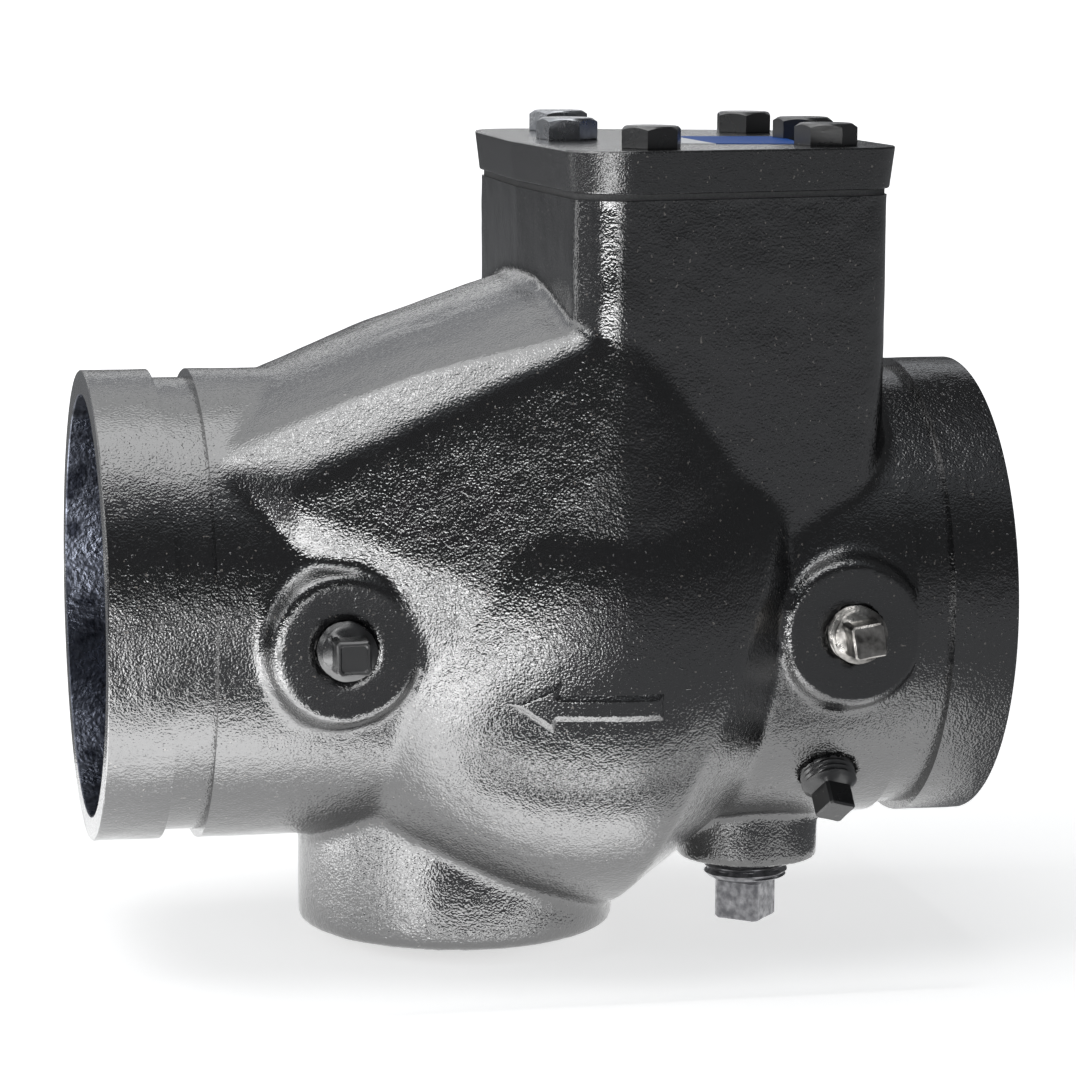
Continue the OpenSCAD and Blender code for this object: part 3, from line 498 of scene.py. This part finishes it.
# %% Workshop helpers
def stand(place_mm, direction, turn=0.0):
    """The matrix that puts a shape made along Z at a place, along a direction."""
    aim = Vector(direction).to_track_quat("Z", "Y").to_matrix().to_4x4()
    return Matrix.Translation(Vector(place_mm) * MM) @ aim @ Matrix.Rotation(turn, 4, "Z")

def as_object(name, mesh_maker, matrix=None):
    """Turns a bmesh into an object in the scene."""
    if matrix is not None:
        mesh_maker.transform(matrix)
    data = bpy.data.meshes.new(name)
    mesh_maker.to_mesh(data)
    mesh_maker.free()
    thing = bpy.data.objects.new(name, data)
    bpy.context.collection.objects.link(thing)
    return thing

def bake_modifiers(thing):
    """Makes an object's modifiers part of its mesh."""
    bpy.context.view_layer.update()
    shaped = thing.evaluated_get(bpy.context.evaluated_depsgraph_get())
    fresh = bpy.data.meshes.new_from_object(shaped)
    thing.modifiers.clear()
    old = thing.data
    thing.data = fresh
    bpy.data.meshes.remove(old)

def discard(thing):
    """Removes a helper object and its mesh."""
    data = thing.data
    bpy.data.objects.remove(thing)
    bpy.data.meshes.remove(data)

def finish_piece(thing, material, slot, *replaced, body="housing", sharp=35.0):
    """Gives a piece its finish and its ride, and hides the CAD nodes that it stands for."""
    thing.data.materials.clear()
    thing.data.materials.append(material)
    for face in thing.data.polygons:
        face.use_smooth = True
    thing.data.set_sharp_from_angle(angle=math.radians(sharp))
    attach(thing, body)
    if replaced:
        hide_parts(*replaced)

front_axis = stand((0, 0, 0), (0, -1, 0)).col[2]
print("stood towards the front, a shape's Z axis points along", [round(v, 1) for v in front_axis])

# %% [markdown]
# ## The casting, part 1: the foundry pattern
# A foundry starts from a pattern with extra metal wherever a machine will cut later. The same order
# works here. The CAD body is copied, its neck is stretched past the cover face, and sleeves fill
# the coupling grooves and run past both pipe ends. A voxel remesh then melts it all into one skin
# of even small faces, which can be softened without pinching.

# %% Pattern
PIPE_R = 57.15
BORE_R = 51.15
LENGTH = 218.3
NECK_TOP = 100.6
EXTRA = 8.0
SLEEVE = 27.0
VOXEL = 1.25

def copy_of(node_name):
    """A welded bmesh copy of a CAD node."""
    mesh = bmesh.new()
    mesh.from_mesh(nodes[node_name].data)
    bmesh.ops.remove_doubles(mesh, verts=mesh.verts, dist=1e-6)
    return mesh

def pour_in(target, extra, matrix):
    """Adds one bmesh to another."""
    extra.transform(matrix)
    data = bpy.data.meshes.new("pour")
    extra.to_mesh(data)
    extra.free()
    target.from_mesh(data)
    bpy.data.meshes.remove(data)

pattern = copy_of("body")
for point in pattern.verts:
    if abs(point.co.z - NECK_TOP * MM) < 1e-6:
        point.co.z += EXTRA * MM
ALONG_X = stand((0, 0, 0), (1, 0, 0))
for low, high in ((-EXTRA, SLEEVE), (LENGTH - SLEEVE, LENGTH + EXTRA)):
    sleeve = lathe([(low, BORE_R), (low, PIPE_R), (high, PIPE_R), (high, BORE_R)], 128, ring=True)
    pour_in(pattern, sleeve, ALONG_X)
casting = as_object("valve_casting", pattern)
melt = casting.modifiers.new("melt", "REMESH")
melt.mode = "VOXEL"
melt.voxel_size = VOXEL * MM
melt.adaptivity = 0.0
bake_modifiers(casting)
print("pattern skin:", len(casting.data.vertices), "points")

# %% [markdown]
# ## The casting, part 2: rounding what the sand rounds
# Sand and enamel leave no sharp inside corner: pipe, chamber, neck and bosses flow together. A Smooth
# modifier does that, held back by a vertex group: full strength on the outer skin, little inside,
# where seats and lugs have to keep their shape, and least on the boss rims. To know outside
# from inside, the CAD faces are flooded from one face of the chamber up to the machined faces.

# %% Where the outer skin is
GAUGES = ((54.15, -62.0), (176.65, -60.2))
GAUGE_Z = -2.0
SMALL_DRAIN_X = 166.75
TEST_PORT_X = 176.15
DRAIN_FACE = -81.0
PORT_FROM = 45.0
cad_skin = copy_of("body")

def is_machined(face):
    """True on the faces and bores that a machine cuts, which part the outside from the inside."""
    spot = face.calc_center_median() / MM
    end = abs(face.normal.x) > 0.99 and (spot.x < 0.1 or spot.x > LENGTH - 0.1)
    top = face.normal.z > 0.99 and spot.z > NECK_TOP - 0.1
    foot = face.normal.z < -0.99 and spot.z < DRAIN_FACE + 0.1
    port = any(math.hypot(spot.x - x, spot.z - GAUGE_Z) < 7.2 and spot.y < -PORT_FROM for x, _ in GAUGES)
    small_drain = math.hypot(spot.x - SMALL_DRAIN_X, spot.y) < 11.2 and spot.z < -PORT_FROM
    along = -(spot.y + spot.z) / math.sqrt(2.0)
    aside = math.hypot(spot.x - TEST_PORT_X, (spot.y - spot.z) / math.sqrt(2.0))
    return end or top or foot or port or small_drain or (aside < 8.2 and along > PORT_FROM)

cut_faces = {f.index for f in cad_skin.faces if is_machined(f)}
ball_front = Vector((0.118, -0.078, -0.01))
start = min(cad_skin.faces, key=lambda f: (f.calc_center_median() - ball_front).length)
outside = {start.index}
edge_of_flood = [start]
while edge_of_flood:
    face = edge_of_flood.pop()
    for edge in face.edges:
        for other in edge.link_faces:
            if other.index not in outside and other.index not in cut_faces:
                outside.add(other.index)
                edge_of_flood.append(other)
cad_tree = BVHTree.FromBMesh(cad_skin)
print("outer CAD faces:", len(outside), "of", len(cad_skin.faces))

# %% [markdown]
# The strength of the smoothing follows from where a point is. On the open skin it is full. Towards
# the rim of a gauge boss or of the small drain boss it falls off along an S, which keeps the
# change gentle, so that no seam shows.

# %% Softness of each point
def ease(value, low, high):
    """0 below low, 1 above high, a soft S between."""
    t = min(1.0, max(0.0, (value - low) / (high - low)))
    return t * t * (3.0 - 2.0 * t)

INSIDE_SOFT = 0.3
RIM_SOFT = 0.18

def softness(point, outer):
    """How far the sand rounds this point, from 0 to 1."""
    if not outer:
        return INSIDE_SOFT
    x, y, z = point / MM
    soft = 1.0
    if y < -40:
        for gauge_x, _ in GAUGES:
            soft = min(soft, RIM_SOFT + ease(math.hypot(x - gauge_x, z - GAUGE_Z), 17.5, 24.0))
    if z < -50:
        soft = min(soft, RIM_SOFT + ease(math.hypot(x - SMALL_DRAIN_X, y), 19.5, 26.0))
    return min(soft, 1.0)

skin_soft = casting.vertex_groups.new(name="soft")
outer_skin = casting.vertex_groups.new(name="outer")
outer_count = 0
for vert in casting.data.vertices:
    _, _, index, _ = cad_tree.find_nearest(vert.co)
    outer = index in outside
    outer_count += outer
    skin_soft.add([vert.index], softness(vert.co, outer), "REPLACE")
    if outer:
        outer_skin.add([vert.index], 1.0, "REPLACE")
cad_skin.free()
print("outer points:", outer_count)

# %% [markdown]
# Now the two modifiers themselves. Smooth rounds the inside corners, and Displace with a cloud
# texture gives the slow unevenness of a poured skin, half a millimetre from low to high. Both
# are real changes of the shape, because a bump in the paint would not show at the outline.

# %% Rounding and unevenness
rounding = casting.modifiers.new("rounding", "SMOOTH")
rounding.vertex_group = "soft"
rounding.factor = 0.5
rounding.iterations = 7
clouds = bpy.data.textures.new("uneven_pour", "CLOUDS")
clouds.noise_scale = 0.016
clouds.noise_depth = 2
uneven = casting.modifiers.new("uneven", "DISPLACE")
uneven.texture = clouds
uneven.texture_coords = "LOCAL"
uneven.vertex_group = "outer"
uneven.strength = 0.5 * MM
uneven.mid_level = 0.55
bake_modifiers(casting)
print("rounded skin:", len(casting.data.vertices), "points")

# %% [markdown]
# ## The casting, part 3: on the machine
# Now the cuts, in the order a shop makes them: both ends are faced and grooved with one form tool
# each, the neck is milled flat and the drain is bored. A Boolean with the Manifold solver is fast
# on such a dense closed skin and leaves crisp edges, as a real tool does.

# %% Form tools and cuts
GROOVE_R = 55.04
GROOVE_FROM = 15.88
GROOVE_TO = 25.41
CHAMFER = 0.3
LIP = 0.25
CLEAR = 0.9
TOOL_R = 70
DRAIN_X = 91.55
DRAIN_R = 28.4

def cut_with(tool):
    """Takes a tool's shape away from the casting."""
    cut = casting.modifiers.new("cut", "BOOLEAN")
    cut.operation = "DIFFERENCE"
    cut.solver = "MANIFOLD"
    cut.object = tool
    bake_modifiers(casting)
    discard(tool)

CLEAR_R = PIPE_R + CLEAR
form = [(-20, TOOL_R), (-20, 0.5), (LIP, 0.5), (LIP, BORE_R), (0, BORE_R + LIP), (0, PIPE_R - CHAMFER),
        (CHAMFER + CLEAR, CLEAR_R), (GROOVE_FROM, CLEAR_R), (GROOVE_FROM, GROOVE_R),
        (GROOVE_TO, GROOVE_R), (GROOVE_TO, CLEAR_R), (GROOVE_TO + 1, CLEAR_R), (GROOVE_TO + 1, TOOL_R)]
# The tool is a ring: on the axis, where it has a hole, there is only the air of the bore.
cut_with(as_object("outlet_tool", lathe(form, 180, ring=True), ALONG_X))
FROM_INLET = stand((LENGTH, 0, 0), (-1, 0, 0))
cut_with(as_object("inlet_tool", lathe(form, 180, ring=True), FROM_INLET))
mill = lathe([(NECK_TOP, 160), (NECK_TOP + 20, 160)], 8)
cut_with(as_object("mill", mill, stand((140, 0, 0), (0, 0, 1))))
bore = lathe([(-95, DRAIN_R), (-50, DRAIN_R)], 128)
cut_with(as_object("drain_bore", bore, stand((DRAIN_X, 0, 0), (0, 0, 1))))
finish_piece(casting, black_cast, "painted_casting", "body", sharp=38.0)
print("casting:", len(casting.data.polygons), "faces")

# %% [markdown]
# The casting carries three finishes. The bores of the two pipe ends have a thin coat with a metal
# sheen, and the flat faces of the gauge bosses, where enamel lies smooth, a calmer black. Each face
# of the mesh is given its finish by where it is.

# %% Three finishes on one casting
casting.data.materials.append(bore_coat)
casting.data.materials.append(black_boss)
COAT_FROM = 60
COAT_TO = 150
BOSS_R = 16

def on_boss(x, y, z):
    """True within the flat face of a gauge boss."""
    for boss_x, face_y in GAUGES:
        if y < face_y + 0.6 and math.hypot(x - boss_x, z - GAUGE_Z) < BOSS_R:
            return True
    return False

for face in casting.data.polygons:
    x, y, z = face.center / MM
    if math.hypot(y, z) < BORE_R + 0.4 and not COAT_FROM < x < COAT_TO:
        face.material_index = 1
    if face.normal.y < -0.97 and on_boss(x, y, z):
        face.material_index = 2
corners = [max(v.co[i] for v in casting.data.vertices) / MM for i in range(3)]
print("casting reaches", [round(c, 2) for c in corners])

# %% [markdown]
# ## The cover plate
# The cover is a thick iron plate, cast with a little draft: its sides lean in towards the gasket. Its
# edges are softened by grinding. The CAD solid has the right outline, so a copy with a Bevel
# modifier is enough. Its flat faces come as many thin triangles, which a bevel would pull apart, so
# they are joined first. The bevel runs only on the rim, not on the bolt holes under the heads.

# %% Cover
BOLT_SPOTS = {"nose": (118.95, 0.0), "left_front": (127.85, -50.7), "left_back": (127.85, 50.7),
              "right_front": (173.65, -37.7), "right_back": (173.65, 37.7), "heel": (178.65, 0.0)}
HOLE_R = 6.0
plate = copy_of("cover")
bmesh.ops.dissolve_limit(plate, angle_limit=math.radians(0.5), verts=plate.verts, edges=plate.edges)
weight = plate.edges.layers.float.new("bevel_weight_edge")
for edge in plate.edges:
    spot = (edge.verts[0].co + edge.verts[1].co) / (2.0 * MM)
    at_hole = any(math.hypot(spot.x - x, spot.y - y) < HOLE_R for x, y in BOLT_SPOTS.values())
    if not at_hole and edge.calc_face_angle(0.0) > math.radians(50):
        edge[weight] = 1.0
cover = as_object("cover_plate", plate)
edges = cover.modifiers.new("ground_edge", "BEVEL")
edges.width = 0.7 * MM
edges.segments = 3
edges.limit_method = "WEIGHT"
bake_modifiers(cover)
finish_piece(cover, black_cover, "painted_casting", "cover", sharp=12.0)
print("cover:", len(cover.data.polygons), "faces")

# %% [markdown]
# ## Hexagon bolts
# A forged bolt head is a hexagon whose top corners are turned off at 30 degrees, which leaves a curved
# edge on every flat. Working the height out ring by ring from the hexagon's own radius
# gives those curves exactly, with no Boolean.

# %% Bolts
BOLT_SEAT = 112.1
HEAD_H = 5.3
FLATS = 13.0
SHANK_R = 3.99
PLATED = ("nose", "left_back")
HEAD_TURNS = {"nose": 12, "left_front": 40, "left_back": 25,
              "right_front": 15, "right_back": 50, "heel": 5}

def hex_head(flats, height, shank_r, shank_long, steps=144):
    """A bolt along Z with its seat at 0: head above, shank below."""
    half = flats / 2.0
    crown = half * 0.96
    mesh = bmesh.new()
    hoops = []
    def hoop(radius_of, height_of):
        add_hoop(mesh, hoops, steps, radius_of, height_of)
    def hexagon(turn):
        sector = (turn + math.pi / 6) % (math.pi / 3) - math.pi / 6
        return half / math.cos(sector)
    hoop(lambda t: shank_r, lambda r: -shank_long)
    hoop(lambda t: shank_r, lambda r: 0.0)
    hoop(lambda t: hexagon(t) * 0.985, lambda r: 0.0)
    hoop(hexagon, lambda r: 0.25)
    hoop(hexagon, lambda r: height - 0.25 - (r - crown) * math.tan(math.radians(30)))
    hoop(lambda t: crown, lambda r: height - 0.12)
    hoop(lambda t: crown * 0.93, lambda r: height)
    hoop(lambda t: crown * 0.45, lambda r: height - 0.08)
    skin_hoops(mesh, hoops)
    return mesh

for name, (x, y) in BOLT_SPOTS.items():
    node = "cover_bolt_" + name
    low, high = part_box(node)
    head = hex_head(FLATS, HEAD_H, SHANK_R, BOLT_SEAT - low[2] / MM)
    spin = Matrix.Rotation(math.radians(HEAD_TURNS[name]), 4, "Z")
    place = Matrix.Translation(Vector((x, y, BOLT_SEAT)) * MM) @ spin
    metal, slot = (zinc, "zinc_plated") if name in PLATED else (black_steel, "black_steel")
    finish_piece(as_object("bolt_" + name, head, place), metal, slot, node, sharp=20.0)
    print("bolt", name, "is", round((high[2] - low[2]) / MM, 1), "mm long in the CAD")

# %% [markdown]
# ## Pipe plugs
# A pipe plug shows a turn or two of its thread and a square head for the wrench. The thread is a true
# helix: on a fine grid round the plug, each point's radius depends on how far it is up its own turn.
# The outlet plug's square has a shallow dish in its end, as plugs from a mould have.

# %% Shape of a plug
PLUG_STEPS = 72
ROWS_PER_TURN = 8

def pipe_plug(thread_d, pitch, inside, outside, square_w, head, dish=0.0, steps=PLUG_STEPS):
    """A plug along Z with the boss face at 0: thread below and above it, square head on top."""
    crest = thread_d / 2.0
    depth = pitch * 0.55
    count = int((inside + outside - 1.0) / pitch * ROWS_PER_TURN)
    mesh = bmesh.new()
    hoops = []
    def loop_of(radius_of, height):
        add_hoop(mesh, hoops, steps, radius_of, lambda r: height)
    def thread(turn, along):
        share = (along / pitch - turn / (2.0 * math.pi)) % 1.0
        return crest - depth * abs(2.0 * share - 1.0)
    top = -inside + 0.5 + count * pitch / ROWS_PER_TURN
    for row in range(count + 1):
        along = -inside + 0.5 + row * pitch / ROWS_PER_TURN
        loop_of(lambda t: thread(t, along), along)
    half = square_w / 2.0
    def square(turn):
        sector = (turn + math.pi / 4) % (math.pi / 2) - math.pi / 4
        return min(half / math.cos(sector), half * 1.30)
    loop_of(lambda t: crest - depth, top + 0.3)
    loop_of(lambda t: max(square(t), crest * 0.80), outside + 0.2)
    loop_of(square, outside + 1.0)
    loop_of(square, outside + head - 0.5)
    loop_of(lambda t: square(t) - 0.45, outside + head)
    loop_of(lambda t: square(t) * 0.80, outside + head)
    loop_of(lambda t: square(t) * 0.72, outside + head - dish)
    loop_of(lambda t: square(t) * 0.30, outside + head - dish)
    skin_hoops(mesh, hoops)
    return mesh

print("a thread gets", PLUG_STEPS * ROWS_PER_TURN, "points in each of its turns")

# %% [markdown]
# The four plugs differ in size, in the way they face and in their finish. The outlet plug and the
# slanted one were painted with the body. The inlet plug is mostly bright where its black has worn
# off, and the drain plug underneath was never painted. Each entry below is one plug: its sizes,
# its place on the boss face, its direction, its turn, its metal and its slot.

# %% Plugs
worn_plug = bare_metal("worn_bright_plug", (0.62, 0.60, 0.57), (0.10, 0.095, 0.09), 0.3, 0.9, 0.12)
gauge = (13.7, 1.41, 9, 4, 8, 8)
plugs = [("outlet_gauge_plug", (*gauge, 0.4), (*GAUGES[0], GAUGE_Z), (0, -1, 0), 1,
          black_steel, "black_steel"),
         ("inlet_gauge_plug", gauge, (*GAUGES[1], GAUGE_Z), (0, -1, 0), 9,
          worn_plug, "bare_plug"),
         ("small_drain_plug", (21.3, 1.81, 13, 5.5, 12, 10.6), (SMALL_DRAIN_X, 0, -68.5), (0, 0, -1), 40,
          iron_plug, "bare_plug"),
         ("test_plug", (13.7, 1.41, 5, 3.35, 7.5, 7.25), (TEST_PORT_X, -40.41, -40.41), (0, -1, -1), -22,
          black_steel, "black_steel")]
for node, sizes, place, facing, turn, metal, slot in plugs:
    low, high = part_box(node)
    plug = as_object(node + "_threaded", pipe_plug(*sizes), stand(place, facing, math.radians(turn)))
    finish_piece(plug, metal, slot, node, sharp=32.0)
    reach = [min(v.co[i] for v in plug.data.vertices) / MM for i in range(3)]
    print(node, "starts at", [round(v / MM, 1) for v in low], "made", [round(v, 1) for v in reach])

# %% [markdown]
# ## The flow arrow
# A raised arrow on the chamber shows which way the water goes. In the foundry it is a thin letter
# with sloping sides, stuck on the pattern. The slope matters more than the height, because
# it is what mirrors a different part of the studio. So the arrow is a height field: on a fine grid
# over the ball, each point rises with its distance from the outline, up to a flat top.

# %% Arrow
ARROW = [(90.8, -14.4), (102.3, -8.9), (102.0, -12.2), (126.5, -12.5), (126.7, -18.8),
         (101.8, -18.4), (101.0, -21.2)]
BALL_CENTRE = Vector((118.0, 0.0, -3.5))
BALL_R = 75.0
ARROW_H = 1.0
DRAFT = 1.3
GRID = 0.35
GRID_X = 89.5
GRID_Z = -22.5
COLUMNS = 112
ROWS = 44
SUNK = 0.8
BACKING = 2.0

def depth_inside(x, z):
    """Distance to the arrow's outline: above 0 inside it, below 0 outside."""
    nearest = 1e9
    inside = False
    for i, (ax, az) in enumerate(ARROW):
        bx, bz = ARROW[(i + 1) % len(ARROW)]
        along = ((x - ax) * (bx - ax) + (z - az) * (bz - az)) / ((bx - ax) ** 2 + (bz - az) ** 2)
        along = min(1.0, max(0.0, along))
        nearest = min(nearest, math.hypot(x - ax - along * (bx - ax), z - az - along * (bz - az)))
        if (az > z) != (bz > z) and x < ax + (z - az) * (bx - ax) / (bz - az):
            inside = not inside
    return nearest if inside else -nearest

letter = bmesh.new()
columns = []
for column in range(COLUMNS):
    x = GRID_X + column * GRID
    points = []
    for row in range(ROWS):
        z = GRID_Z + row * GRID
        inner = depth_inside(x, z)
        rise = ARROW_H * min(inner / DRAFT, 1.0) if inner > -1.2 * GRID else -SUNK
        flat = math.hypot(x - BALL_CENTRE.x, z - BALL_CENTRE.z)
        spot = Vector((x, -math.sqrt((BALL_R + rise) ** 2 - flat ** 2), z))
        points.append(letter.verts.new(spot * MM))
    columns.append(points)
for left, right_hand in zip(columns, columns[1:]):
    for row in range(ROWS - 1):
        letter.faces.new((left[row], right_hand[row], right_hand[row + 1], left[row + 1]))
arrow = as_object("flow_arrow", letter)
backing = arrow.modifiers.new("backing", "SOLIDIFY")
backing.thickness = BACKING * MM
backing.offset = -1.0
bake_modifiers(arrow)
finish_piece(arrow, black_cast, "painted_casting", sharp=60.0)
print("arrow:", len(arrow.data.polygons), "faces, faces out:", arrow.data.polygons[0].normal.y < 0)

# %% [markdown]
# ## A plain label
# The cover carries a small plastic label. Here it is a blank white one with a blue band. It is a thin
# plate with rounded corners, lying on the cover between the bolts.

# %% Plate with round corners
CORNER_STEPS = 8

def rounded_plate(width, depth, thick, corner, steps=CORNER_STEPS):
    """A thin plate with round corners, its middle at the origin."""
    mesh = bmesh.new()
    ring = []
    for centre_x, centre_y, start_turn in ((1, 1, 0), (-1, 1, 90), (-1, -1, 180), (1, -1, 270)):
        for step in range(steps + 1):
            turn = math.radians(start_turn + 90.0 * step / steps)
            x = centre_x * (width / 2.0 - corner) + corner * math.cos(turn)
            y = centre_y * (depth / 2.0 - corner) + corner * math.sin(turn)
            ring.append((x, y))
    low = [mesh.verts.new(Vector((x, y, 0)) * MM) for x, y in ring]
    high = [mesh.verts.new(Vector((x, y, thick)) * MM) for x, y in ring]
    mesh.faces.new(list(reversed(low)))
    mesh.faces.new(high)
    for i in range(len(ring)):
        after = (i + 1) % len(ring)
        mesh.faces.new((low[i], low[after], high[after], high[i]))
    return mesh

print("each corner is rounded in", CORNER_STEPS, "steps")

# %% [markdown]
# The label's film is a satin plastic. The step from white to blue comes from the X coordinate, and a
# wide faint bump keeps the film from looking like a perfect sheet.

# %% Label
LABEL_WHITE = (0.82, 0.83, 0.85)
LABEL_BLUE = (0.02, 0.09, 0.36)
BAND_X = 0.1485
label_film, tree, shader, place = new_finish("label_film", LABEL_WHITE, 0.0, 0.5, 1.15)
spread = tree.nodes.new("ShaderNodeSeparateXYZ")
tree.links.new(place, spread.inputs[0])
band_from = between(tree, spread.outputs["X"], BAND_X, BAND_X + 0.0002, 0.0, 1.0)
two_tone(tree, shader, band_from, LABEL_WHITE, LABEL_BLUE)
bump_by(tree, shader, noise_of(tree, place, 6.0, 2.0), 0.05)
LABEL_SPOT = (152.5, -10.0, BOLT_SEAT)
LABEL_TURN = Matrix.Rotation(math.radians(-8), 4, "Z")
label_place = Matrix.Translation(Vector(LABEL_SPOT) * MM) @ LABEL_TURN
label = as_object("plain_label", rounded_plate(40, 42, 0.15, 2.0), label_place)
finish_piece(label, label_film, "gasket", sharp=30.0)
print("label lies at", BOLT_SEAT, "mm, on the cover")
